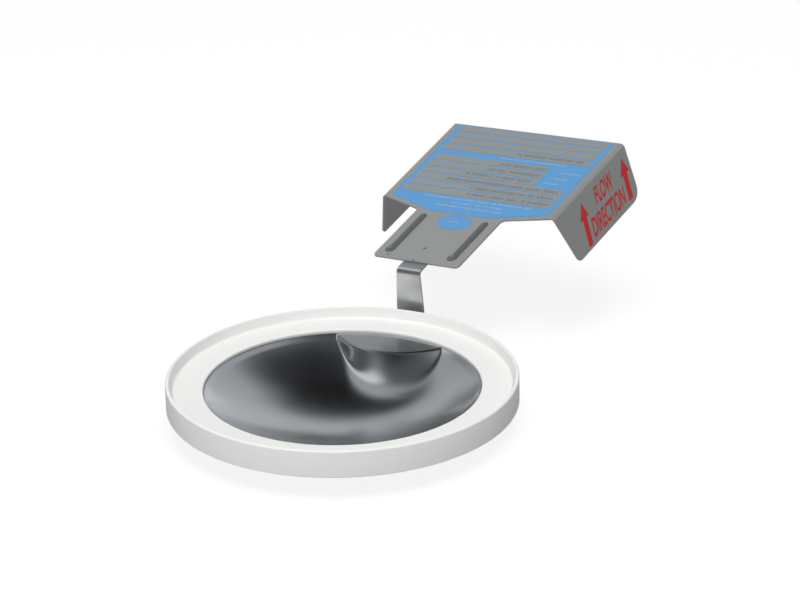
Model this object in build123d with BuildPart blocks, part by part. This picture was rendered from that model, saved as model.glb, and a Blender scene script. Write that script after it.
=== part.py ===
from build123d import *
import os
from math import cos, radians, sin, sqrt, tan

os.makedirs("parts", exist_ok=True)

# Reverse-acting rupture disc for a clamped hygienic joint, in millimetres.
# Origin at the centre of the ring's underside. +Z is the way the flow leaves,
# so the disc is seen from above on its hollow side. The tag points to +Y.

# Moulded ring that seals between two clamped ferrules
ring_radius = 47.2
ring_height = 7.6
lip_width = 1.4
seat_depth = 2.8
bore_radius = 37.2
edge_round = 0.7
bore_round = 0.3

# Thin metal disc, its flange moulded into the ring
foil = 0.3
flange_margin = 1.3
grip_clearance = 0.05
rim_width = 1.3
rim_drop = 0.9
rim_gap = 0.3
dome_depth = 8.5

# Flat on the disc that stays behind as its hinge when the dome opens
hinge_reach = 19.0
hinge_outset = 7.2
hinge_slope = 50.0
hinge_round = 1.2
hinge_below = 20.0

# Strap from the flange out through the ring and up to the tag
strap_width = 8.1
strap_thick = 0.5
strap_overlap = 5.5
slot_clearance = 0.1
riser_gap = 3.3
riser_lean = 0.45
riser_height = 16.65
bend_radius = 1.6
strap_hold = 9.3

# Folded sheet-metal flow tag
tag_thick = 0.5
tag_tilt = 16.5
tag_twist = 13.9
tag_roll = 5.6
tongue_setback = 2.4
tongue_width = 29.6
tongue_length = 23.4
tongue_round = 1.3
shoulder_round = 1.6
plate_width = 60.0
plate_end = 65.5
shoulder_rise = 4.0
flap_angle = 70.3
flap_depth = 15.0
flap_bend = 1.3
flap_far_slant = 5.0
flap_near_round = 1.5
flap_far_round = 5.0
rib_spacing = 21.6
rib_start = 3.0
rib_length = 18.5
rib_width = 2.4
rib_height = 0.4

# Heights and radii that follow from the sizes above
web_bottom = seat_depth
web_top = ring_height - seat_depth
flange_bottom = (ring_height - foil) / 2
flange_top = flange_bottom + foil
seat_radius = ring_radius - lip_width
flange_radius = seat_radius - flange_margin
hinge_offset = bore_radius + hinge_outset
strap_level = flange_top + strap_thick / 2
strap_root = flange_radius - strap_overlap
riser_y = ring_radius + riser_gap


def bowl_profile(grow):
    """Half section of the dome's hollow, each wall moved out by grow."""
    outer = bore_radius - rim_gap
    inner = outer - rim_width
    shelf = flange_top - rim_drop
    sphere = (inner**2 + dome_depth**2) / (2 * dome_depth)
    centre = shelf - dome_depth + sphere
    reach = sphere + grow
    edge_z = shelf - grow
    edge_r = sqrt(reach**2 - (centre - edge_z) ** 2)
    bottom = centre - reach
    with BuildSketch(Plane.XZ) as sketch:
        with BuildLine():
            Polyline((0, bottom), (0, flange_top), (outer + grow, flange_top), (edge_r, edge_z))
            RadiusArc((edge_r, edge_z), (0, bottom), reach)
        make_face()
    return sketch.sketch.face()


def hinge_profile(shrink):
    """Half section of the block under the flat, its slope moved in by shrink."""
    fall = tan(radians(hinge_slope))
    side = shrink / sin(radians(hinge_slope))
    top = hinge_reach - side
    foot = top + hinge_below / fall
    with BuildSketch(Plane.XZ) as sketch:
        with BuildLine():
            Polyline((0, -hinge_below), (foot, -hinge_below), (top, 0), (0, 0), close=True)
        make_face()
        corner = sketch.vertices().group_by(Axis.Z)[-1].sort_by(Axis.X)[-1]
        fillet(corner, hinge_round - shrink)
    return sketch.sketch.face()


def hollow(grow):
    """The dome's hollow without the block under the hinge flat."""
    with BuildPart() as bowl:
        revolve(bowl_profile(grow), axis=Axis.Z)
    with BuildPart() as block:
        revolve(hinge_profile(grow), axis=Axis.Z)
    return bowl.part - Pos(0, hinge_offset, flange_top) * block.part


# Directions of the tag: along its length, across it, and out of its printed face
tag_along = Vector(0, 1, 0).rotate(Axis.X, tag_tilt).rotate(Axis.Z, -tag_twist)
tag_across = Vector(1, 0, 0).rotate(Axis.Z, -tag_twist)
tag_across = tag_across.rotate(Axis((0, 0, 0), tag_along), -tag_roll)
tag_normal = tag_across.cross(tag_along)

# The strap's top bend turns it from its riser into the tag's plane
top_turn = 90 - tag_tilt
riser_up = tag_along * cos(radians(top_turn)) + tag_normal * sin(radians(top_turn))
riser_top = Vector(-riser_lean, riser_y, riser_height)
top_bend_centre = riser_top + riser_up.cross(tag_across) * bend_radius
hold_start = top_bend_centre + tag_normal * bend_radius
tag_origin = hold_start + tag_along * tongue_setback + tag_normal * strap_thick / 2
tag_bottom = Plane(origin=tag_origin, x_dir=tag_across, z_dir=tag_normal)
tag_top = tag_bottom.offset(tag_thick)


with BuildPart() as gasket_ring:
    with BuildSketch(Plane.XZ):
        with BuildLine():
            Polyline(
                (bore_radius, web_bottom),
                (seat_radius, web_bottom),
                (seat_radius, 0),
                (ring_radius, 0),
                (ring_radius, ring_height),
                (seat_radius, ring_height),
                (seat_radius, web_top),
                (bore_radius, web_top),
                close=True,
            )
        make_face()
    revolve(axis=Axis.Z)
    circles = gasket_ring.edges().filter_by(GeomType.CIRCLE)
    rims = [e for e in circles if abs(e.radius - ring_radius) < edge_round / 10]
    fillet(rims, edge_round)
    circles = gasket_ring.edges().filter_by(GeomType.CIRCLE)
    bores = [e for e in circles if abs(e.radius - bore_radius) < bore_round / 10]
    fillet(bores, bore_round)
    with BuildSketch(Plane.XY.offset(flange_bottom - grip_clearance)):
        Circle(flange_radius + grip_clearance)
    extrude(amount=foil + 2 * grip_clearance, mode=Mode.SUBTRACT)
    with BuildSketch(Plane.XZ.offset(-strap_root + slot_clearance)):
        with Locations((0, strap_level)):
            Rectangle(strap_width + 2 * slot_clearance, strap_thick + 2 * slot_clearance)
    extrude(amount=-ring_radius, mode=Mode.SUBTRACT)
gasket_ring.part.label = "gasket_ring"
export_step(gasket_ring.part, "parts/gasket_ring.step")


with BuildPart() as rupture_disc:
    with BuildSketch(Plane.XY.offset(flange_bottom)):
        Circle(flange_radius)
    extrude(amount=foil)
    add(hollow(foil))
    add(hollow(0), mode=Mode.SUBTRACT)
rupture_disc.part.label = "rupture_disc"
export_step(rupture_disc.part, "parts/rupture_disc.step")


def strap_section(plane):
    """The strap's cross section on a plane square to its run."""
    with BuildSketch(plane) as sketch:
        Rectangle(strap_width, strap_thick)
    return sketch.sketch.face()


foot_plane = Plane((0, strap_root, strap_level), x_dir=(1, 0, 0), z_dir=(0, 1, 0))
foot_run = riser_y - bend_radius - strap_root
foot_bend = Axis((0, riser_y - bend_radius, strap_level + bend_radius), (1, 0, 0))
riser_foot = Plane((0, riser_y, strap_level + bend_radius), x_dir=(1, 0, 0), z_dir=(0, 0, 1))
riser_head = Plane(riser_top, x_dir=tag_across, z_dir=riser_up)
hold_plane = Plane(hold_start, x_dir=tag_across, z_dir=tag_along)

with BuildPart() as tag_strap:
    extrude(strap_section(foot_plane), amount=foot_run)
    revolve(strap_section(foot_plane.offset(foot_run)), axis=foot_bend, revolution_arc=90)
    loft([strap_section(riser_foot), strap_section(riser_head)], ruled=True)
    head_bend = Axis(top_bend_centre, -tag_across)
    revolve(strap_section(riser_head), axis=head_bend, revolution_arc=top_turn)
    extrude(strap_section(hold_plane), amount=strap_hold)
tag_strap.part.label = "tag_strap"
export_step(tag_strap.part, "parts/tag_strap.step")


# Flat sheet between the two bends, the bends themselves and the flaps
bend_setback = flap_bend * tan(radians(flap_angle / 2))
flat_half = plate_width / 2 - bend_setback
tongue_half = tongue_width / 2
shoulder_slope = shoulder_rise / (plate_width / 2 - tongue_half)
plate_start = tongue_length + shoulder_slope * (flat_half - tongue_half)


def flap_plane(side):
    """Plane of a flap's outer face, from the bend down: X down the flap, Y along."""
    down = tag_across * side * cos(radians(flap_angle)) - tag_normal * sin(radians(flap_angle))
    corner = tag_top.from_local_coords(Vector(side * plate_width / 2, 0, 0))
    outward = down.cross(tag_along) * side
    return Plane(corner, x_dir=down, z_dir=outward * side)


with BuildPart() as tag_plate:
    with BuildSketch(tag_bottom) as sheet:
        with BuildLine():
            Polyline(
                (-tongue_half, 0),
                (tongue_half, 0),
                (tongue_half, tongue_length),
                (flat_half, plate_start),
                (flat_half, plate_end),
                (-flat_half, plate_end),
                (-flat_half, plate_start),
                (-tongue_half, tongue_length),
                close=True,
            )
        make_face()
        corners = sheet.vertices().group_by(Axis.Y)
        fillet(corners[0], tongue_round)
        corners = sheet.vertices().sort_by(Axis.Y)
        fillet([v for v in corners if abs(v.Y - tongue_length) < tag_thick], shoulder_round)
    extrude(amount=tag_thick)
    for side in (-1, 1):
        edge_plane = Plane(
            tag_bottom.from_local_coords(Vector(side * flat_half, plate_start, tag_thick / 2)),
            x_dir=tag_along,
            z_dir=tag_across * side,
        )
        bend_centre = tag_top.from_local_coords(Vector(side * flat_half, 0, -flap_bend))
        with BuildSketch(edge_plane):
            Rectangle(plate_end - plate_start, tag_thick, align=(Align.MIN, Align.CENTER))
        revolve(axis=Axis(bend_centre, tag_along * side), revolution_arc=flap_angle)
        with BuildSketch(flap_plane(side)) as flap:
            with BuildLine():
                Polyline(
                    (bend_setback, plate_start),
                    (flap_depth, plate_start),
                    (flap_depth, plate_end - flap_far_slant),
                    (bend_setback, plate_end),
                    close=True,
                )
            make_face()
            lower = flap.vertices().sort_by(Axis.X)[-2:].sort_by(Axis.Y)
            fillet(lower[0], flap_near_round)
            lower = flap.vertices().sort_by(Axis.Y)
            fillet([v for v in lower if v.X > flap_depth - tag_thick][-1], flap_far_round)
        extrude(amount=-tag_thick * side)
    for side in (-1, 1):
        with BuildSketch(tag_top):
            with Locations((side * rib_spacing / 2, rib_start + rib_length / 2)):
                SlotOverall(rib_length, rib_width, rotation=90)
        extrude(amount=rib_height)
tag_plate.part.label = "tag_plate"
export_step(tag_plate.part, "parts/tag_plate.step")
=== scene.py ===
# %% [markdown]
# # A rupture disc for a clamped hygienic joint
# A rupture disc is a one-shot pressure relief device: a thin metal dome that bursts at a set pressure.
# This one is moulded into the white gasket of a pipe clamp, and a folded steel tag on a strap shows which
# way the flow leaves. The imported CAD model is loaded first. It fixes every size, and the pieces made here
# stay inside its box.

# %% Load the frame
import bmesh
import bpy
from math import cos, pi, radians, sin, tan
from mathutils import Matrix, Vector


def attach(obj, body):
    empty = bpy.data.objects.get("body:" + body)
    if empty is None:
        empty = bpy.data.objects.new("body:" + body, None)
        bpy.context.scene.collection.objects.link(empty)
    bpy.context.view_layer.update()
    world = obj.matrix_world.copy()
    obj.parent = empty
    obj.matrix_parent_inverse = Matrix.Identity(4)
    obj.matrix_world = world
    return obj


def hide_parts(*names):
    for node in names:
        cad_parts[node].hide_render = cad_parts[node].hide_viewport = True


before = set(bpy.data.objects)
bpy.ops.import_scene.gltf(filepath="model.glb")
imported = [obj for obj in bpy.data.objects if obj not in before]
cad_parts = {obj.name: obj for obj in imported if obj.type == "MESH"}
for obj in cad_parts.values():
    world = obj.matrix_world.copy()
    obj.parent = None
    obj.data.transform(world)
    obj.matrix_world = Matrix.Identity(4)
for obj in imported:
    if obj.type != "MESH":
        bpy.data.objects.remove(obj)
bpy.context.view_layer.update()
MM = 0.001

# %% [markdown]
# Four small helpers serve every step. Colours are picked as sRGB hex values, and Blender's sockets want
# linear light, so one function converts them. A second adds a node with its settings and links, for
# materials and Geometry Nodes alike. A third turns points and faces into a piece in its material, and the
# last applies a piece's modifiers.

# %% Colour, node and piece helpers
def linear(hex_code, alpha=1.0):
    """The linear RGBA value of an sRGB hex colour."""
    channels = [int(hex_code[i:i + 2], 16) / 255 for i in (1, 3, 5)]
    return tuple(c / 12.92 if c <= 0.04045 else ((c + 0.055) / 1.055) ** 2.4 for c in channels) + (alpha,)


def add(tree, kind, inputs=None, **settings):
    """A node of that kind. An input's value is a constant or the socket that feeds it."""
    node = tree.nodes.new(kind)
    for name, value in settings.items():
        setattr(node, name, value)
    for key, value in (inputs or {}).items():
        if isinstance(value, bpy.types.NodeSocket):
            tree.links.new(value, node.inputs[key])
        else:
            node.inputs[key].default_value = value
    return node


def piece(name, mesh, material, smooth=True):
    """A mesh as a named piece of the scene, in one material, with its faces smooth or flat."""
    obj = bpy.data.objects.new(name, mesh)
    bpy.context.scene.collection.objects.link(obj)
    if material:
        mesh.materials.clear()
        mesh.materials.append(material)
    for face in mesh.polygons:
        face.use_smooth = smooth
    return obj


def applied(obj):
    """The piece as a plain mesh, with its modifiers applied and removed."""
    graph = bpy.context.evaluated_depsgraph_get()
    mesh = bpy.data.meshes.new_from_object(obj.evaluated_get(graph))
    obj.modifiers.clear()
    obj.data = mesh
    mesh.name = obj.name
    return obj


# %% [markdown]
# ## Finishes
# The gasket is moulded white fluoropolymer: a dense, slightly waxy plastic with a soft sheen. Moulding
# leaves the surface very faintly uneven, so a low noise of a few millimetres breaks the sheen.

# %% Moulded white fluoropolymer
def surface(name, color, metallic, roughness):
    """A material of one Principled shader, its colour in sRGB hex, with its tree and its shader."""
    material = bpy.data.materials.new(name)
    material.use_nodes = True
    tree = material.node_tree
    shader = tree.nodes["Principled BSDF"]
    shader.inputs["Base Color"].default_value = linear(color)
    shader.inputs["Metallic"].default_value = metallic
    shader.inputs["Roughness"].default_value = roughness
    return material, tree, shader


def noise(tree, size, detail, stretch=(1.0, 1.0, 1.0)):
    """A noise whose marks are about that many mm across, fixed to the piece and perhaps stretched."""
    coords = add(tree, "ShaderNodeTexCoord").outputs["Object"]
    scaled = add(tree, "ShaderNodeMapping", {"Vector": coords, "Scale": stretch}).outputs["Vector"]
    cloud = add(tree, "ShaderNodeTexNoise", {"Vector": scaled, "Scale": 1 / (size * MM), "Detail": detail})
    return cloud.outputs["Fac"]


def ranged(tree, value, low, high):
    """A value from 0 to 1 spread between two others."""
    return add(tree, "ShaderNodeMapRange", {"Value": value, "To Min": low, "To Max": high}).outputs["Result"]


def bumped(tree, shader, height, strength, depth):
    """The shader's surface made uneven, to a depth in mm."""
    bump = add(tree, "ShaderNodeBump", {"Height": height, "Strength": strength, "Distance": depth * MM})
    tree.links.new(bump.outputs["Normal"], shader.inputs["Normal"])


gasket_white, tree, shader = surface("moulded_white_fluoropolymer", "#EDEDEA", 0.0, 0.42)
shader.inputs["IOR"].default_value = 1.38
MOULD_MARK = 6.0
bumped(tree, shader, noise(tree, MOULD_MARK, detail=2.0), strength=0.10, depth=0.2)

# %% [markdown]
# The disc is bright annealed nickel alloy foil. Rolled and pressed foil mirrors its surroundings a little
# softly, so it is a pure metal with a low roughness that wanders over a few millimetres.

# %% Bright pressed nickel foil
foil_bright, tree, shader = surface("bright_nickel_foil", "#CCCED0", 1.0, 0.2)
ROLL_MARK = 9.0
tree.links.new(ranged(tree, noise(tree, ROLL_MARK, detail=3.0), 0.17, 0.25), shader.inputs["Roughness"])

# %% [markdown]
# The strap is bright rolled stainless strip, and the tag is the same steel with a satin, bead-blasted
# face. A satin face spreads what it reflects into one even grey, so it gets a high roughness and a fine
# grit in its height.

# %% Rolled strip and satin sheet steel
strip_steel, tree, shader = surface("rolled_stainless_strip", "#E4E5E6", 1.0, 0.30)
ROLL_LINE = 1.2
lines = noise(tree, ROLL_LINE, detail=3.0, stretch=(1.0, 1.0, 0.15))
tree.links.new(ranged(tree, lines, 0.24, 0.40), shader.inputs["Roughness"])

tag_steel, tree, shader = surface("satin_stainless_sheet", "#CFD1CE", 0.75, 0.50)
GRIT = 0.5
bumped(tree, shader, noise(tree, GRIT, detail=2.0), strength=0.15, depth=0.05)

# The ribs' dark grey is painted shade, for the darkness they show from how they catch the light.
rib_painted_shade, tree, shader = surface("rib_steel_painted_shade", "#8E908D", 0.75, 0.50)
PRESS_GRAIN = 0.9
bumped(tree, shader, noise(tree, PRESS_GRAIN, detail=2.0), strength=0.5, depth=0.15)

# %% [markdown]
# The label is screen-printed enamel ink, baked on: flat, slightly glossy colour with no metal in it.

# %% Printing inks
blue_ink = surface("blue_enamel_ink", "#5B97CB", 0.0, 0.40)[0]
pale_ink = surface("pale_enamel_ink", "#A8C2DA", 0.0, 0.42)[0]
red_ink = surface("red_enamel_ink", "#BC3030", 0.0, 0.42)[0]
mark_grey = surface("etched_grey_mark", "#686A68", 0.3, 0.55)[0]

# %% [markdown]
# ## The gasket ring
# The real ring is compression moulded: a flat web that seals between the two ferrules, and a lip round
# both faces that centres them. The lip has a little draft on its inner side so that the mould lets go.
# The section is the same all the way round, so a rounded outline is turned about the axis.

# %% Rounded outlines
def rounded(corners, steps=6):
    """The points of an outline whose corners (x, y, radius) are replaced by arcs."""
    points = []
    count = len(corners)
    for i, (x, y, radius) in enumerate(corners):
        here = Vector((x, y))
        before = (Vector(corners[i - 1][:2]) - here).normalized()
        after = (Vector(corners[(i + 1) % count][:2]) - here).normalized()
        if radius == 0:
            points.append(here)
            continue
        half = before.angle(after) / 2
        centre = here + (before + after).normalized() * radius / sin(half)
        start = here + before * radius / tan(half) - centre
        turn = start.angle_signed(here + after * radius / tan(half) - centre)
        for k in range(steps + 1):
            spin = Matrix.Rotation(-turn * k / steps, 2)
            points.append(centre + spin @ start)
    return points


# %% Gasket ring
RING_R, RING_H = 47.2, 7.6
SEAT_R, SEAT_DEPTH = 45.8, 2.8
BORE_R = 37.2
RING_STEPS = 256


def turned(name, section, steps, material):
    """A closed section of (radius, height) points in mm, turned about Z."""
    vertices = []
    faces = []
    size = len(section)
    for i in range(steps):
        angle = 2 * pi * i / steps
        vertices += [(r * MM * cos(angle), r * MM * sin(angle), z * MM) for r, z in section]
        for k in range(size):
            a, b = i * size + k, i * size + (k + 1) % size
            turn = (i + 1) % steps - i
            faces.append((a, a + turn * size, b + turn * size, b))
    mesh = bpy.data.meshes.new(name)
    mesh.from_pydata(vertices, [], faces)
    shape = bmesh.new()
    shape.from_mesh(mesh)
    bmesh.ops.recalc_face_normals(shape, faces=shape.faces)
    shape.to_mesh(mesh)
    shape.free()
    return piece(name, mesh, material)


DRAFT = 0.45
ring_section = rounded([
    (BORE_R, SEAT_DEPTH, 0.5),
    (SEAT_R - DRAFT, SEAT_DEPTH, 0.8),
    (SEAT_R + DRAFT, 0.0, 0.3),
    (RING_R, 0.0, 0.5),
    (RING_R, RING_H, 0.5),
    (SEAT_R + DRAFT, RING_H, 0.3),
    (SEAT_R - DRAFT, RING_H - SEAT_DEPTH, 0.8),
    (BORE_R, RING_H - SEAT_DEPTH, 0.5),
])
ring = turned("gasket_moulding", ring_section, RING_STEPS, gasket_white)
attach(ring, "root")
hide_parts("gasket_ring")
print("gasket ring:", len(ring.data.polygons), "faces")

# %% [markdown]
# ## The disc
# One foil is pressed over a die: a flat flange, a steep step at the rim, a shallow spherical hollow, and
# a flat land bounded by an arc that stays behind as the hinge. Below the arc the wall is nearly upright
# at the left end and leans out more and more towards the right, as the press left it. Its height follows
# a rule in x and y, so Geometry Nodes lays out rings of points and lifts each to its height. The points
# crowd round the hinge, where the shape turns sharply.

# %% Sizes of the disc, in mm
FOIL = 0.3
FLANGE_R = 44.5
FLANGE_TOP = (RING_H + FOIL) / 2
RIM_R = BORE_R - 0.3
RIM_WIDTH, RIM_DROP = 1.3, 0.9
DOME_DEPTH = 8.5
HINGE_R, HINGE_Y = 19.0, 44.4
HINGE_LEFT, HINGE_RIGHT = radians(-50), radians(62)
RUN_LEFT, RUN_RIGHT = 0.2, 2.2
WALL_DEPTH, WALL_FALL = 14.0, 1.3
CREASE = 0.12
DOME_R = ((RIM_R - RIM_WIDTH) ** 2 + DOME_DEPTH ** 2) / (2 * DOME_DEPTH)
DOME_Z = FLANGE_TOP - RIM_DROP - DOME_DEPTH + DOME_R


# %% The pressing rule as Geometry Nodes
def number(tree, operation, *values):
    """The result of one sum on numbers or sockets, in mm."""
    return add(tree, "ShaderNodeMath", dict(enumerate(values)), operation=operation).outputs[0]


def pressed_height(tree, x, y, r, sizes):
    """The height of the foil's upper face at a point, in mm, as a chain of sums."""
    square = number(tree, "SUBTRACT", DOME_R ** 2, number(tree, "MULTIPLY", r, r))
    sphere = number(tree, "SUBTRACT", DOME_Z, number(tree, "SQRT", number(tree, "MAXIMUM", square, 0.0)))
    inward = number(tree, "SUBTRACT", sizes["Rim radius"], r)
    step = number(tree, "SUBTRACT", FLANGE_TOP, number(tree, "MULTIPLY", inward, RIM_DROP / RIM_WIDTH))
    bowl = number(tree, "SMOOTH_MAX", sphere, step, 0.15)
    ahead = number(tree, "SUBTRACT", y, sizes["Hinge centre"])
    ahead = number(tree, "MULTIPLY", ahead, ahead)
    away = number(tree, "SQRT", number(tree, "ADD", number(tree, "MULTIPLY", x, x), ahead))
    behind = number(tree, "SUBTRACT", sizes["Hinge centre"], y)
    side = number(tree, "ARCTAN2", x, behind)
    limits = {"From Min": HINGE_LEFT, "From Max": HINGE_RIGHT, "To Min": RUN_LEFT, "To Max": RUN_RIGHT}
    eased = add(tree, "ShaderNodeMapRange", {"Value": side, **limits}, interpolation_type="SMOOTHSTEP")
    run = eased.outputs[0]
    out = number(tree, "SUBTRACT", away, sizes["Hinge radius"])
    steep = number(tree, "MAXIMUM", number(tree, "DIVIDE", out, run), -3.0)
    decay = number(tree, "EXPONENT", number(tree, "MULTIPLY", steep, -WALL_FALL / WALL_DEPTH))
    fall = number(tree, "MULTIPLY", number(tree, "SUBTRACT", 1.0, decay), WALL_DEPTH)
    wall = number(tree, "SUBTRACT", FLANGE_TOP, fall)
    land = number(tree, "SMOOTH_MIN", wall, FLANGE_TOP, 0.6)
    blend = number(tree, "MAXIMUM", number(tree, "MULTIPLY", fall, 0.4), CREASE)
    blend = number(tree, "MINIMUM", blend, 3.0)
    both = number(tree, "SMOOTH_MAX", bowl, land, blend)
    return number(tree, "SMOOTH_MIN", both, FLANGE_TOP, CREASE)


def coated(tree, last, sizes):
    """The tree, ended: what its last node gives, in the material of its inputs."""
    finish = {"Geometry": last.outputs[0], "Material": sizes["Material"]}
    add(tree, "NodeGroupOutput", {"Geometry": add(tree, "GeometryNodeSetMaterial", finish).outputs[0]})
    return tree


def ported(name, numbers, counts=()):
    """A Geometry Nodes tree with those inputs, a material and one geometry out."""
    tree = bpy.data.node_groups.new(name, "GeometryNodeTree")
    kinds = [(port, "NodeSocketInt") for port in counts] + [(port, "NodeSocketFloat") for port in numbers]
    for port, kind in kinds + [("Material", "NodeSocketMaterial")]:
        tree.interface.new_socket(port, in_out="INPUT", socket_type=kind)
    tree.interface.new_socket("Geometry", in_out="OUTPUT", socket_type="NodeSocketGeometry")
    return tree, add(tree, "NodeGroupInput").outputs


def foil_tree():
    """Geometry Nodes that press the foil's two faces and close them at the flange's edge."""
    tree, sizes = ported("pressed_foil", ("Rim radius", "Hinge centre", "Hinge radius"))
    around = 320    # points round each ring
    crowd = 0.42    # their spacing at the hinge, as a share of even spacing
    visible = 0.93  # the share of the rings that lies inside the bore
    faces = []
    for rings, sink in ((180, 0.0), (56, FOIL)):
        sides = {"Size X": 1.0, "Size Y": 2.0, "Vertices X": rings, "Vertices Y": around + 1}
        grid = add(tree, "GeometryNodeMeshGrid", sides)
        position = add(tree, "GeometryNodeInputPosition").outputs[0]
        place = add(tree, "ShaderNodeSeparateXYZ", {0: position}).outputs
        out = number(tree, "ADD", place[0], 0.5)
        seen = {"Value": out, "From Max": visible, "To Max": BORE_R}
        held = {"Value": out, "From Min": visible, "To Max": FLANGE_R - BORE_R}
        inner, outer = (add(tree, "ShaderNodeMapRange", part).outputs[0] for part in (seen, held))
        r = number(tree, "ADD", inner, outer)
        cube = number(tree, "MULTIPLY", number(tree, "MULTIPLY", place[1], place[1]), place[1])
        even = number(tree, "MULTIPLY", place[1], crowd)
        swing = number(tree, "ADD", even, number(tree, "MULTIPLY", cube, 1 - crowd))
        angle = number(tree, "ADD", number(tree, "MULTIPLY", swing, pi), pi / 2)
        x = number(tree, "MULTIPLY", r, number(tree, "COSINE", angle))
        y = number(tree, "MULTIPLY", r, number(tree, "SINE", angle))
        top = pressed_height(tree, x, y, r, sizes)
        hem = number(tree, "GREATER_THAN", out, 0.9999)
        lower = number(tree, "MULTIPLY", number(tree, "SUBTRACT", 1.0, hem), sink)
        z = number(tree, "SUBTRACT", top, lower)
        spot = add(tree, "ShaderNodeCombineXYZ", {0: x, 1: y, 2: z}).outputs[0]
        metres = add(tree, "ShaderNodeVectorMath", {0: spot, "Scale": MM}, operation="SCALE").outputs[0]
        moved = {"Geometry": grid.outputs["Mesh"], "Position": metres}
        lifted = add(tree, "GeometryNodeSetPosition", moved).outputs[0]
        if sink:
            lifted = add(tree, "GeometryNodeFlipFaces", {"Mesh": lifted}).outputs[0]
        faces.append(lifted)
    join = add(tree, "GeometryNodeJoinGeometry")
    for face in reversed(faces):
        tree.links.new(face, join.inputs[0])
    sealed = add(tree, "GeometryNodeMergeByDistance", {"Geometry": join.outputs[0], "Distance": 0.002 * MM})
    return coated(tree, sealed, sizes)


def grown(name, tree, values, material):
    """The mesh that a Geometry Nodes tree makes with these inputs, as a piece of its own."""
    obj = piece(name, bpy.data.meshes.new(name), None)
    modifier = obj.modifiers.new("grow", "NODES")
    modifier.node_group = tree
    sockets = {s.name: s.identifier for s in tree.interface.items_tree if s.in_out == "INPUT"}
    for key, value in {**values, "Material": material}.items():
        modifier[sockets[key]] = value
    applied(obj)
    for face in obj.data.polygons:
        face.use_smooth = True
    return obj


pressing = {"Rim radius": RIM_R, "Hinge centre": HINGE_Y, "Hinge radius": HINGE_R}
disc = grown("pressed_disc", foil_tree(), pressing, foil_bright)
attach(disc, "root")
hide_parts("rupture_disc")
disc_bottom = min(v.co.z for v in disc.data.vertices)
print("disc:", len(disc.data.polygons), "faces, lowest", round(disc_bottom / MM, 2), "mm")

# %% [markdown]
# ## Where the tag stands
# The strap rises outside the ring, turns over and lies under the tag's tongue. The tag leans up, swings a
# little aside and rolls a few degrees, as a bent strap leaves it. Three directions and one point place
# all that follows.

# %% The tag's directions
TAG_TILT, TAG_TWIST, TAG_ROLL = radians(16.5), radians(13.9), radians(5.6)
tag_turn = Matrix.Rotation(-TAG_TWIST, 3, "Z") @ Matrix.Rotation(TAG_TILT, 3, "X")
tag_turn = tag_turn @ Matrix.Rotation(-TAG_ROLL, 3, "Y")
across, along, normal = (tag_turn @ Vector(axis) for axis in ((1, 0, 0), (0, 1, 0), (0, 0, 1)))
STRAP_W, STRAP_T = 8.1, 0.5
STRAP_LEVEL = FLANGE_TOP + STRAP_T / 2
STRAP_OVERLAP, STRAP_HOLD = 5.5, 9.3
STRAP_ROOT = FLANGE_R - STRAP_OVERLAP
RISER_GAP, RISER_LEAN, RISER_HEIGHT = 3.3, 0.45, 16.65
RISER_Y = RING_R + RISER_GAP
BEND_R = 1.6
TAG_T, TONGUE_SETBACK = 0.5, 2.4
riser_top = Vector((-RISER_LEAN, RISER_Y, RISER_HEIGHT))
top_turn = pi / 2 - TAG_TILT
riser_up = along * cos(top_turn) + normal * sin(top_turn)
bend_centre = riser_top + riser_up.cross(across) * BEND_R
hold_start = bend_centre + normal * BEND_R
tag_middle = hold_start + along * TONGUE_SETBACK + normal * (STRAP_T / 2 + TAG_T / 2)

# %% [markdown]
# ## The strap
# A strip of steel bent twice. Its middle line is followed from the flange, with the way across it at each
# stop, so the strip can twist a little on its way up. Solidify gives the strip its thickness and Bevel
# breaks its edges.

# %% Strap
def arc_stops(centre, start, axis, turn, width_from, width_to, steps):
    """Stops round a bend: the middle point and the way across, from start about an axis."""
    stops = []
    for k in range(steps + 1):
        spin = Matrix.Rotation(turn * k / steps, 3, axis)
        stops.append((centre + spin @ (start - centre), width_from.lerp(width_to, k / steps)))
    return stops


side = Vector((1, 0, 0))
foot_bend = Vector((0, RISER_Y - BEND_R, STRAP_LEVEL + BEND_R))
stops = [(Vector((0, STRAP_ROOT, STRAP_LEVEL)), side)]
stops += arc_stops(foot_bend, Vector((0, RISER_Y - BEND_R, STRAP_LEVEL)), side, pi / 2, side, side, 10)
riser_foot = stops[-1][0]
for k in range(1, 12):
    share = k / 12
    stops.append((riser_foot.lerp(riser_top, share), side.lerp(across, share).normalized()))
stops += arc_stops(bend_centre, riser_top, -across, top_turn, across, across, 10)
stops.append((hold_start + along * STRAP_HOLD, across))


def strip(name, stops, width, thickness, material):
    """A strip along its stops, with its thickness and broken edges."""
    vertices = []
    for point, way in stops:
        vertices += [(point - way * width / 2) * MM, (point + way * width / 2) * MM]
    faces = [(2 * i, 2 * i + 1, 2 * i + 3, 2 * i + 2) for i in range(len(stops) - 1)]
    mesh = bpy.data.meshes.new(name)
    mesh.from_pydata(vertices, [], faces)
    obj = piece(name, mesh, material)
    wall = obj.modifiers.new("wall", "SOLIDIFY")
    wall.thickness = thickness * MM
    wall.offset = 0.0
    edge = obj.modifiers.new("edge", "BEVEL")
    edge.width = 0.1 * MM
    edge.segments = 2
    edge.angle_limit = radians(50)
    obj.modifiers.new("even", "WEIGHTED_NORMAL")
    return applied(obj)


strap = strip("bent_strap", stops, STRAP_W, STRAP_T, strip_steel)
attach(strap, "root")
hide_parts("tag_strap")
print("strap:", len(stops), "stops")

# %% [markdown]
# ## The tag
# The real tag is blanked flat and then folded, and it is made here the same way: its flat outline is
# drawn, cut along the two bend zones, and each point is carried to its folded place. The print is folded
# with it.

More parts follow.
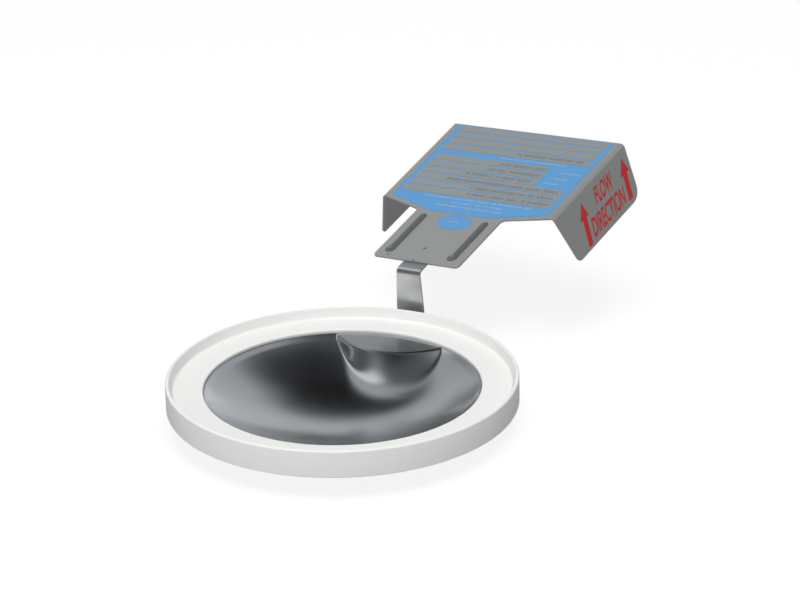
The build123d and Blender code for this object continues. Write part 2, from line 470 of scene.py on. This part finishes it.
# %% Folding a flat blank
PLATE_HALF, PLATE_END = 60.0 / 2, 65.5
TONGUE_HALF, TONGUE_END = 29.6 / 2, 23.4
FOLD, FOLD_OUTSIDE, FLAP_DEPTH = radians(70.3), 1.3, 15.0
FOLD_R = FOLD_OUTSIDE - TAG_T / 2
BEND_SETBACK = FOLD_OUTSIDE * tan(FOLD / 2)
FLAT_HALF = PLATE_HALF - BEND_SETBACK
SHOULDER_RISE = 4.0
PLATE_START = TONGUE_END + SHOULDER_RISE / (PLATE_HALF - TONGUE_HALF) * (FLAT_HALF - TONGUE_HALF)
BEND_END = FLAT_HALF + FOLD_R * FOLD
FLAP_END = BEND_END + FLAP_DEPTH - BEND_SETBACK


def folded(s, a, lift=0.0):
    """The place in the frame of a point of the blank: s across, a along, lift above its middle."""
    reach = abs(s)
    bend = min(max(reach - FLAT_HALF, 0) / FOLD_R, FOLD)
    straight = max(reach - BEND_END, 0)
    b = min(reach, FLAT_HALF) + (FOLD_R + lift) * sin(bend) + straight * cos(FOLD)
    n = (FOLD_R + lift) * cos(bend) - FOLD_R - straight * sin(FOLD)
    b = b if s > 0 else -b
    return (tag_middle + along * a + across * b + normal * n) * MM


def blank(name, outline, material, lift=0.0, cuts=()):
    """A flat outline of (s, a) points, cut across s at each cut and carried to its folded place."""
    shape = bmesh.new()
    shape.faces.new([shape.verts.new((s, a, 0)) for s, a in outline])
    for cut in cuts:
        everything = shape.verts[:] + shape.edges[:] + shape.faces[:]
        bmesh.ops.bisect_plane(shape, geom=everything, plane_co=(cut, 0, 0), plane_no=(1, 0, 0))
    shape.normal_update()
    bmesh.ops.triangulate(shape, faces=[f for f in shape.faces if len(f.verts) > 4])
    bmesh.ops.recalc_face_normals(shape, faces=shape.faces)
    if sum(f.normal.z * f.calc_area() for f in shape.faces) < 0:
        bmesh.ops.reverse_faces(shape, faces=shape.faces)
    for vertex in shape.verts:
        vertex.co = folded(vertex.co.x, vertex.co.y, lift)
    mesh = bpy.data.meshes.new(name)
    shape.to_mesh(mesh)
    shape.free()
    return piece(name, mesh, material)


# %% The tag's sheet
right_half = [
    (TONGUE_HALF, 0.0, 1.3),
    (TONGUE_HALF, TONGUE_END, 1.6),
    (FLAT_HALF, PLATE_START, 0.0),
    (FLAP_END, PLATE_START, 1.5),
    (FLAP_END, PLATE_END - 5.0, 5.0),
    (BEND_END, PLATE_END, 0.6),
]
left_half = [(-s, a, radius) for s, a, radius in reversed(right_half)]
bend_cuts = [FLAT_HALF + (BEND_END - FLAT_HALF) * k / 8 for k in range(9)]
bend_cuts += [-cut for cut in bend_cuts]
sheet = blank("folded_tag", rounded(right_half + left_half), tag_steel, cuts=bend_cuts)
wall = sheet.modifiers.new("wall", "SOLIDIFY")
wall.thickness = TAG_T * MM
wall.offset = 0.0
edge = sheet.modifiers.new("edge", "BEVEL")
edge.width = 0.1 * MM
edge.segments = 2
edge.angle_limit = radians(60)
sheet.modifiers.new("even", "WEIGHTED_NORMAL")
applied(sheet)
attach(sheet, "root")
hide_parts("tag_plate")
print("tag:", len(sheet.data.polygons), "faces")

# %% [markdown]
# Two ribs are pressed in the tongue to stiffen it, each with a round boss at its near end. Ribs and bosses
# are coloured darker than the sheet as painted shade, and each boss has a crown of brighter steel as a
# painted highlight.

# %% Ribs and bosses
PRINT_LIFT = TAG_T / 2 + 0.03


def mound(name, b, a_from, a_to, width, height, material):
    """A low rounded rib on the tongue, made of shrinking outlines stacked up its height."""
    outlines = []
    steps, turns = 5, 12
    for k in range(steps):
        swing = pi / 2 * k / (steps - 1)
        inset = width / 2 * (1 - cos(swing)) * 0.96
        r = width / 2 - inset
        points = []
        for end, start in ((a_to - width / 2, 0.0), (a_from + width / 2, pi)):
            angles = [start + pi * j / turns for j in range(turns + 1)]
            points += [(b + r * cos(angle), end + r * sin(angle)) for angle in angles]
        outlines.append([folded(s, a, TAG_T / 2 + height * sin(swing)) for s, a in points])
    size = len(outlines[0])
    vertices = [v for outline in outlines for v in outline]
    faces = []
    for k in range(steps - 1):
        low, high = k * size, (k + 1) * size
        for j in range(size):
            after = (j + 1) % size
            faces.append((low + j, low + after, high + after, high + j))
    faces.append(tuple(range((steps - 1) * size, steps * size)))
    mesh = bpy.data.meshes.new(name)
    mesh.from_pydata(vertices, [], faces)
    obj = piece(name, mesh, material)
    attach(obj, "root")


RIB_B, RIB_FROM, RIB_TO, RIB_W = 10.8, 3.0, 21.5, 2.4
# Ribs and bosses take the darker steel as painted shade.
for label, sign in (("left", -1), ("right", 1)):
    mound(f"rib_{label}", sign * RIB_B, RIB_FROM, RIB_TO, RIB_W, 0.4, rib_painted_shade)
    boss_b = sign * RIB_B - 0.3
    mound(f"rib_boss_{label}", boss_b, RIB_FROM - 0.6, RIB_FROM + 2.6, 3.2, 0.35, rib_painted_shade)
    # Each boss's crown is brighter strip steel as a painted highlight.
    mound(f"boss_painted_highlight_{label}", boss_b, RIB_FROM + 0.3, RIB_FROM + 1.7, 1.4, 0.6, strip_steel)

# %% [markdown]
# ## The label
# A blue enamel field is printed on the sheet, and rows of bare steel are left open in it for data that is
# etched later. The rows repeat, so Geometry Nodes sets them out from a count, a pitch and a length.

# %% Printed fields
def field(name, outline, material):
    """A printed field with rounded corners, given as (s, a, radius) on the blank."""
    obj = blank(name, rounded(outline), material, PRINT_LIFT)
    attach(obj, "root")


LABEL_HALF, LABEL_NEAR, LABEL_FAR = 27.6, 28.4, 65.1
APRON_HALF = 9.9
field("blue_field", [
    (APRON_HALF, TONGUE_END, 1.5),
    (LABEL_HALF, LABEL_NEAR, 2.0),
    (LABEL_HALF, LABEL_FAR, 1.0),
    (-LABEL_HALF, LABEL_FAR, 1.0),
    (-LABEL_HALF, LABEL_NEAR, 2.0),
    (-APRON_HALF, TONGUE_END, 1.5),
], blue_ink)


def rows_tree():
    """Geometry Nodes for a column of equal bars: how many, how far apart, how long and how wide."""
    tree, sizes = ported("label_rows", ("Pitch", "Length", "Width"), counts=("Count",))
    step = add(tree, "ShaderNodeCombineXYZ", {"Y": sizes["Pitch"]})
    rows = add(tree, "GeometryNodeMeshLine", {"Count": sizes["Count"], "Offset": step.outputs[0]})
    sides = {"Size X": sizes["Length"], "Size Y": sizes["Width"], "Vertices X": 2, "Vertices Y": 2}
    placed = {"Points": rows.outputs[0], "Instance": add(tree, "GeometryNodeMeshGrid", sides).outputs[0]}
    bars = add(tree, "GeometryNodeInstanceOnPoints", placed)
    real = add(tree, "GeometryNodeRealizeInstances", {"Geometry": bars.outputs[0]})
    return coated(tree, real, sizes)


label_rows = rows_tree()


def bare_rows(name, count, b_from, b_to, a_from, a_to, gap):
    """Open rows between two heights on the plate, with blue lines of that width between them."""
    pitch = (a_to - a_from + gap) / count
    values = {"Count": count, "Pitch": pitch, "Length": b_to - b_from, "Width": pitch - gap}
    obj = grown(name, label_rows, values, tag_steel)
    for vertex in obj.data.vertices:
        b = vertex.co.x + (b_from + b_to) / 2
        a = vertex.co.y + a_from + (pitch - gap) / 2
        vertex.co = folded(b, a, PRINT_LIFT + ROW_LIFT)
    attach(obj, "root")


LINE, ROW_LIFT = 0.5, 0.03
ROW_HALF, SHORT_ROW_END = 25.9, 14.6
bare_rows("rows_upper", 4, -ROW_HALF, ROW_HALF, 52.8, 64.8, LINE)
bare_rows("rows_middle", 3, -ROW_HALF, SHORT_ROW_END, 40.9, 50.2, LINE)
bare_rows("rows_lower", 3, -ROW_HALF, ROW_HALF, 31.4, 40.4, LINE)


def oval(b, a, half_width, half_height, steps):
    """The outline of an ellipse on the blank."""
    angles = [2 * pi * k / steps for k in range(steps)]
    return [(b + half_width * cos(angle), a + half_height * sin(angle), 0.0) for angle in angles]


field("blue_roundel", oval(0.7, 19.6, 5.7, 3.45, 48), blue_ink)

# %% [markdown]
# Data is etched in the rows after printing, and small print stands pale in the blue. Both are left
# generic here: short strokes with gaps, of random lengths and leans from a fixed seed, that say nothing.
# Geometry Nodes sets them along a line and drops some to make the gaps.

# %% Etched and printed marks
STROKE, MARK_LIFT = 0.2, 0.06


def marks_tree():
    """Geometry Nodes for one line of marks: how many, a seed, how far apart and how high."""
    tree, sizes = ported("etched_marks", ("Pitch", "Height"), counts=("Count", "Seed"))
    step = add(tree, "ShaderNodeCombineXYZ", {"X": sizes["Pitch"]})
    line = add(tree, "GeometryNodeMeshLine", {"Count": sizes["Count"], "Offset": step.outputs[0]})
    chance = {"Probability": 0.85, "Seed": sizes["Seed"]}
    kept = add(tree, "FunctionNodeRandomValue", chance, data_type="BOOLEAN").outputs[3]
    leans = {2: -0.9, 3: 0.5, "Seed": sizes["Seed"]}
    lean = add(tree, "FunctionNodeRandomValue", leans, data_type="FLOAT").outputs[1]
    reaches = {2: 0.5, 3: 1.0, "Seed": sizes["Seed"]}
    reach = add(tree, "FunctionNodeRandomValue", reaches, data_type="FLOAT").outputs[1]
    sides = {"Size X": STROKE, "Size Y": 1.0, "Vertices X": 2, "Vertices Y": 2}
    mark = add(tree, "GeometryNodeMeshGrid", sides)
    turn = add(tree, "ShaderNodeCombineXYZ", {"Z": lean})
    tall = number(tree, "MULTIPLY", reach, sizes["Height"])
    scale = add(tree, "ShaderNodeCombineXYZ", {0: 1.0, 1: tall, 2: 1.0})
    placed = {"Points": line.outputs[0], "Instance": mark.outputs[0], "Selection": kept}
    placed.update({"Rotation": turn.outputs[0], "Scale": scale.outputs[0]})
    marks = add(tree, "GeometryNodeInstanceOnPoints", placed)
    real = add(tree, "GeometryNodeRealizeInstances", {"Geometry": marks.outputs[0]})
    return coated(tree, real, sizes)


etched = marks_tree()


def marked_line(name, b_from, b_to, a, height, material, seed):
    """A line of short strokes across the plate at one height."""
    pitch = height * 0.5
    values = {"Count": int((b_to - b_from) / pitch), "Pitch": pitch, "Height": height, "Seed": seed}
    obj = grown(name, etched, values, material)
    for vertex in obj.data.vertices:
        vertex.co = folded(b_from + vertex.co.x, a + vertex.co.y, PRINT_LIFT + MARK_LIFT)
    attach(obj, "root")


etched_lines = [
    (0, 24, 54.2),
    (-2, 14, 48.7),
    (-4.5, 14.5, 45.6),
    (-11, 13, 42.5),
    (-14.5, 25, 39.0),
    (-4, 25, 35.9),
    (-3, 25, 32.9),
]
printed_lines = [
    (-4, 19, 51.5),
    (20, 26.5, 48.0),
    (19, 24, 45.2),
    (17, 22.5, 42.6),
    (-17, 21, 30.0),
    (-6, 12, 28.2),
    (-11, 13, 26.4),
]
for seed, (b_from, b_to, a) in enumerate(etched_lines):
    marked_line(f"etched_line_{seed + 1}", b_from, b_to, a, 1.6, mark_grey, seed)
for seed, (b_from, b_to, a) in enumerate(printed_lines):
    marked_line(f"printed_line_{seed + 1}", b_from, b_to, a, 0.9, pale_ink, seed + 20)
marked_line("roundel_marks", -0.8, 3.0, 19.6, 1.4, pale_ink, 40)

# %% [markdown]
# The strap's end is spot-welded under the tongue, which leaves small dark dimples in its face.

# %% Weld marks
for name, b, a, r in (
    ("weld_dot", -0.6, 6.2, 0.45),
    ("weld_dot_small", -10.3, 1.3, 0.3),
    ("edge_nub", -0.8, 0.5, 0.35),
):
    field(name, oval(b, a, r, r, 16), mark_grey)

# %% [markdown]
# The right flap carries two arrows and the words FLOW DIRECTION in red. They lean, as on a tag whose
# print follows the pipe rather than the flap. The letters come from Blender's own font.

# %% Flow arrows and words
LEAN = 0.44


def on_flap(x, y, a_base, w_base):
    """The blank's (s, a) of a printed point: x along the flap, y up from its base line, leaning."""
    return BEND_END + w_base - y - BEND_SETBACK, a_base + x + LEAN * y


def arrow(name, a_tail, w_tail, length):
    """A red arrow that points up at the bend."""
    head_w, head_l, shaft_w = 4.4, 4.2, 2.0
    corners = [
        (-shaft_w / 2, 0.0),
        (shaft_w / 2, 0.0),
        (shaft_w / 2, length - head_l),
        (head_w / 2, length - head_l),
        (0.0, length),
        (-head_w / 2, length - head_l),
        (-shaft_w / 2, length - head_l),
    ]
    field(name, [(*on_flap(x, y, a_tail, w_tail), 0.0) for x, y in corners], red_ink)


arrow("flow_arrow_far", 57.0, 13.6, 11.0)
arrow("flow_arrow_near", 34.3, 14.2, 11.4)


def words(name, text, a_from, a_to, w_top, w_base):
    """Letters printed on the flap between two places along it and two depths."""
    curve = bpy.data.curves.new(name, "FONT")
    curve.body = text
    curve.offset = 0.022
    holder = bpy.data.objects.new(name, curve)
    bpy.context.scene.collection.objects.link(holder)
    graph = bpy.context.evaluated_depsgraph_get()
    mesh = bpy.data.meshes.new_from_object(holder.evaluated_get(graph))
    bpy.data.objects.remove(holder)
    xs = [v.co.x for v in mesh.vertices]
    ys = [v.co.y for v in mesh.vertices]
    height = w_base - w_top
    width = a_to - a_from - LEAN * height
    for vertex in mesh.vertices:
        x = (vertex.co.x - min(xs)) / (max(xs) - min(xs)) * width
        y = (vertex.co.y - min(ys)) / (max(ys) - min(ys)) * height
        s, a = on_flap(x, y, a_from, w_base)
        vertex.co = folded(s, a, PRINT_LIFT)
    obj = piece(name, mesh, red_ink)
    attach(obj, "root")


words("word_flow", "FLOW", 44.3, 55.5, 2.4, 7.0)
words("word_direction", "DIRECTION", 37.2, 56.8, 8.4, 13.4)

# %% [markdown]
# ## Floor, light and camera
# The part lies on a pale floor in soft studio light.

# %% Floor
floor_z = disc_bottom - 0.05 * MM
mesh = bpy.data.meshes.new("floor")
FLOOR_HALF = 6.0
corners = [(x * FLOOR_HALF, y * FLOOR_HALF, floor_z) for x, y in ((-1, -1), (1, -1), (1, 1), (-1, 1))]
mesh.from_pydata(corners, [], [(0, 1, 2, 3)])
floor_white, tree, shader = surface("pale_studio_floor", "#C6C8CB", 0.0, 0.9)
rays = add(tree, "ShaderNodeLightPath")
straight = number(tree, "MULTIPLY", rays.outputs["Is Camera Ray"], 0.75)
mirrored = number(tree, "MULTIPLY", rays.outputs["Is Glossy Ray"], 0.9)
power = number(tree, "ADD", number(tree, "MULTIPLY", rays.outputs["Is Camera Ray"], 0.96), 0.2)
glow = add(tree, "ShaderNodeEmission", {"Color": (1, 1, 1, 1), "Strength": power})
share = number(tree, "MAXIMUM", straight, mirrored)
mix = add(tree, "ShaderNodeMixShader", {0: share, 1: shader.outputs[0], 2: glow.outputs[0]})
tree.links.new(mix.outputs[0], tree.nodes["Material Output"].inputs["Surface"])
floor = piece("floor", mesh, floor_white, smooth=False)

# %% [markdown]
# Bright metal shows the room it stands in, so the room is a pale cyclorama with dark flags and a few lit
# panels. Two soft lamps light the white ring from above and from the front; they are kept out of mirror
# reflections.

# %% Light
world = bpy.context.scene.world or bpy.data.worlds.new("studio")
bpy.context.scene.world = world
world.use_nodes = True
tree = world.node_tree
tree.nodes.clear()
rays = add(tree, "ShaderNodeLightPath")
coords = add(tree, "ShaderNodeTexCoord")


def toward(azimuth, elevation):
    """The unit vector at an azimuth from +Y towards -X and an elevation, in degrees."""
    turn, lift = radians(azimuth), radians(elevation)
    return (-sin(turn) * cos(lift), cos(turn) * cos(lift), sin(lift))


def patch(azimuth, elevation, core, edge, inside, outside):
    """A round patch of the room round a direction: its brightness inside, and outside of a soft edge."""
    ways = {0: coords.outputs["Generated"], 1: toward(azimuth, elevation)}
    near = add(tree, "ShaderNodeVectorMath", ways, operation="DOT_PRODUCT").outputs["Value"]
    limits = {"From Min": cos(radians(edge)), "From Max": cos(radians(core))}
    span = {"Value": near, **limits, "To Min": outside, "To Max": inside}
    return add(tree, "ShaderNodeMapRange", span, interpolation_type="SMOOTHSTEP").outputs[0]


height = add(tree, "ShaderNodeSeparateXYZ", {0: coords.outputs["Generated"]}).outputs["Z"]
rise = {"Value": height, "From Min": 0.1, "From Max": 0.6, "To Min": 0.72, "To Max": 0.52}
dimmed = add(tree, "ShaderNodeMapRange", rise).outputs[0]
for azimuth, elevation, core, edge, inside in (
    (8, 57, 9, 22, 0.04),      # a dark flag high behind the part, mirrored in the bowl
    (24, 39, 8, 18, 0.04),     # its lower end
    (120, 84, 14, 34, 0.25),   # the dim ceiling
    (195, 45, 20, 52, 0.15),   # the dark side of the room, behind the viewer
    (-95, 5, 30, 75, 0.15),    # the dark wall on the right
    (105, 5, 25, 65, 0.20),    # the dark wall on the left
    (36, 2, 5, 12, 0.20),      # a dark gap low behind the part
):
    dimmed = number(tree, "MULTIPLY", dimmed, patch(azimuth, elevation, core, edge, inside, 1.0))
overhead = patch(88, 50, 5, 16, 0.7, 0.0)
panel = patch(2, 14, 4, 6, 0.25, 0.0)
level = number(tree, "ADD", number(tree, "ADD", dimmed, overhead), panel)
studio = add(tree, "ShaderNodeBackground", {"Color": (0.93, 0.965, 1.0, 1), "Strength": level})
plain = add(tree, "ShaderNodeBackground", {"Color": (1, 1, 1, 1), "Strength": 1.0})
sides = {0: rays.outputs["Is Camera Ray"], 1: studio.outputs[0], 2: plain.outputs[0]}
pick = add(tree, "ShaderNodeMixShader", sides)
add(tree, "ShaderNodeOutputWorld", {"Surface": pick.outputs[0]})


def lamp(name, place, aim, size, power):
    """A soft square lamp at a place, turned to its aim, in metres and watts."""
    data = bpy.data.lights.new(name, "AREA")
    data.shape = "SQUARE"
    data.size = size
    data.energy = power
    obj = bpy.data.objects.new(name, data)
    obj.location = place
    obj.rotation_euler = (Vector(aim) - Vector(place)).to_track_quat("-Z", "Y").to_euler()
    obj.visible_glossy = False
    bpy.context.scene.collection.objects.link(obj)


lamp("key", (0.1, -0.2, 1.3), (0, 0.03, 0), 0.9, 15.5)
lamp("front", (0.05, -1.25, 0.35), (0, 0.03, 0), 0.5, 5.0)

# %% Camera
YAW, PITCH, ROLL = radians(21.60), radians(22.83), radians(-1.235)
forward = Vector((-sin(YAW) * cos(PITCH), cos(YAW) * cos(PITCH), -sin(PITCH)))
level = Vector((cos(YAW), sin(YAW), 0))
upright = level.cross(forward)
right = level * cos(ROLL) + upright * sin(ROLL)
up = -level * sin(ROLL) + upright * cos(ROLL)
eye = bpy.data.cameras.new("camera")
eye.sensor_width = 36.0
eye.lens = 147.27
eye.shift_x = -0.01945
eye.shift_y = -0.0015
eye.clip_end = 50.0
camera = bpy.data.objects.new("camera", eye)
turn = Matrix((right, up, -forward)).transposed()
camera.matrix_world = Matrix.Translation((0.3116, -0.7327, 0.3643)) @ turn.to_4x4()
bpy.context.scene.collection.objects.link(camera)
bpy.context.scene.camera = camera
bpy.context.scene.view_settings.view_transform = "Standard"
